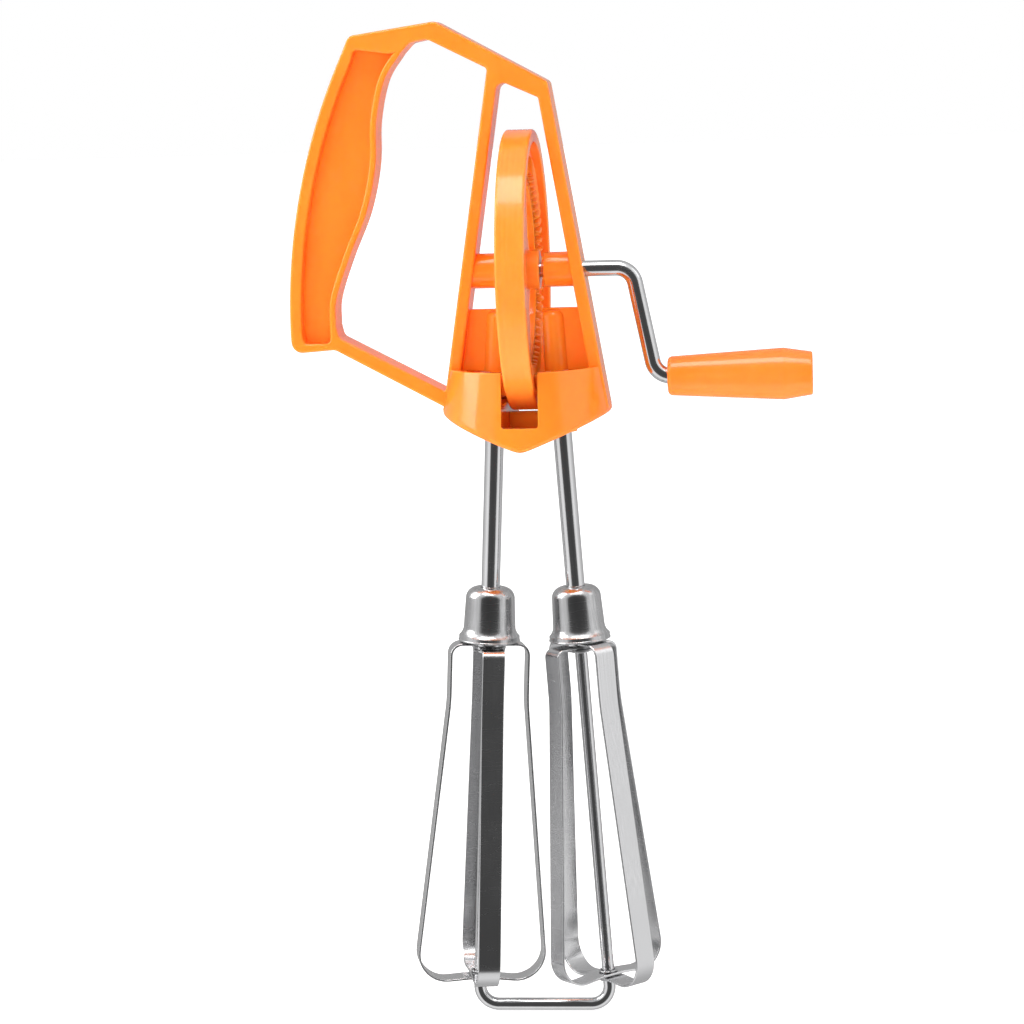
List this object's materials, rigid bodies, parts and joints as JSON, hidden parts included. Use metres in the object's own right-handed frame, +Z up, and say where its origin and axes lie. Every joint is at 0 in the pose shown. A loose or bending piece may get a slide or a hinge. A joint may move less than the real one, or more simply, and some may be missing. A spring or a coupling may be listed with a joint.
{
  "type": "egg beater",
  "caption": "Hand-cranked egg beater with a moulded grip frame, a crown gear wheel on a bent crank, and counter-turning looped steel beaters on a fixed guide wire.",
  "frame": {"origin": "middle of the hand grip, on the frame's mid-plane", "axes": "+Z up along the handle, away from the beaters; +X from the grip towards the crank knob; the frame is the same on its -Y and +Y sides"},
  "size_m": [0.1641, 0.088, 0.3183],
  "materials": {
    "frame_plastic": "glossy injection-moulded orange",
    "gear_plastic": "glossy injection-moulded orange",
    "knob_plastic": "satin moulded orange",
    "pinion_plastic": "moulded orange",
    "rod_steel": "polished drawn rod",
    "tube_steel": "polished tube",
    "blade_steel": "polished strip with fine drawn lines",
    "ferrule_steel": "polished deep-drawn sheet",
    "washer_steel": "plain stamped steel"
  },
  "bodies": {
    "frame": {"frame": "frame_plastic", "guide_wire": "rod_steel", "left_thrust_washer": "washer_steel", "right_thrust_washer": "washer_steel"},
    "crank": {"gear_wheel": "gear_plastic", "crank_rod": "rod_steel", "knob_push_nut": "washer_steel"},
    "knob": {"crank_knob": "knob_plastic", "knob_end_cap": "knob_plastic"},
    "left_beater": {"left_pinion": "pinion_plastic", "left_tube": "tube_steel", "left_ferrule": "ferrule_steel", "left_outer_blade_loop": "blade_steel", "left_inner_blade_loop": "blade_steel", "left_clamp_washer": "washer_steel", "left_eyelet": "washer_steel"},
    "right_beater": {"right_pinion": "pinion_plastic", "right_tube": "tube_steel", "right_ferrule": "ferrule_steel", "right_outer_blade_loop": "blade_steel", "right_inner_blade_loop": "blade_steel", "right_clamp_washer": "washer_steel", "right_eyelet": "washer_steel"}
  },
  "joints": [
    {"name": "crank_turn", "type": "hinge", "parent": "frame", "child": "crank", "pos_m": [0.059, 0, -0.026], "axis": [1, 0, 0], "continuous": true},
    {"name": "knob_spin", "type": "hinge", "parent": "crank", "child": "knob", "pos_m": [0.119, 0, -0.0604], "axis": [1, 0, 0], "continuous": true},
    {"name": "left_beater_spin", "type": "hinge", "parent": "frame", "child": "left_beater", "pos_m": [0.05115, 0, -0.026], "axis": [0.0569, 0, 0.9984], "continuous": true},
    {"name": "right_beater_spin", "type": "hinge", "parent": "frame", "child": "right_beater", "pos_m": [0.06685, 0, -0.026], "axis": [-0.0569, 0, 0.9984], "continuous": true}
  ],
  "couplings": [
    {"joint": "left_beater_spin", "follows": "crank_turn", "ratio": 4.4},
    {"joint": "right_beater_spin", "follows": "crank_turn", "ratio": -4.4}
  ]
}
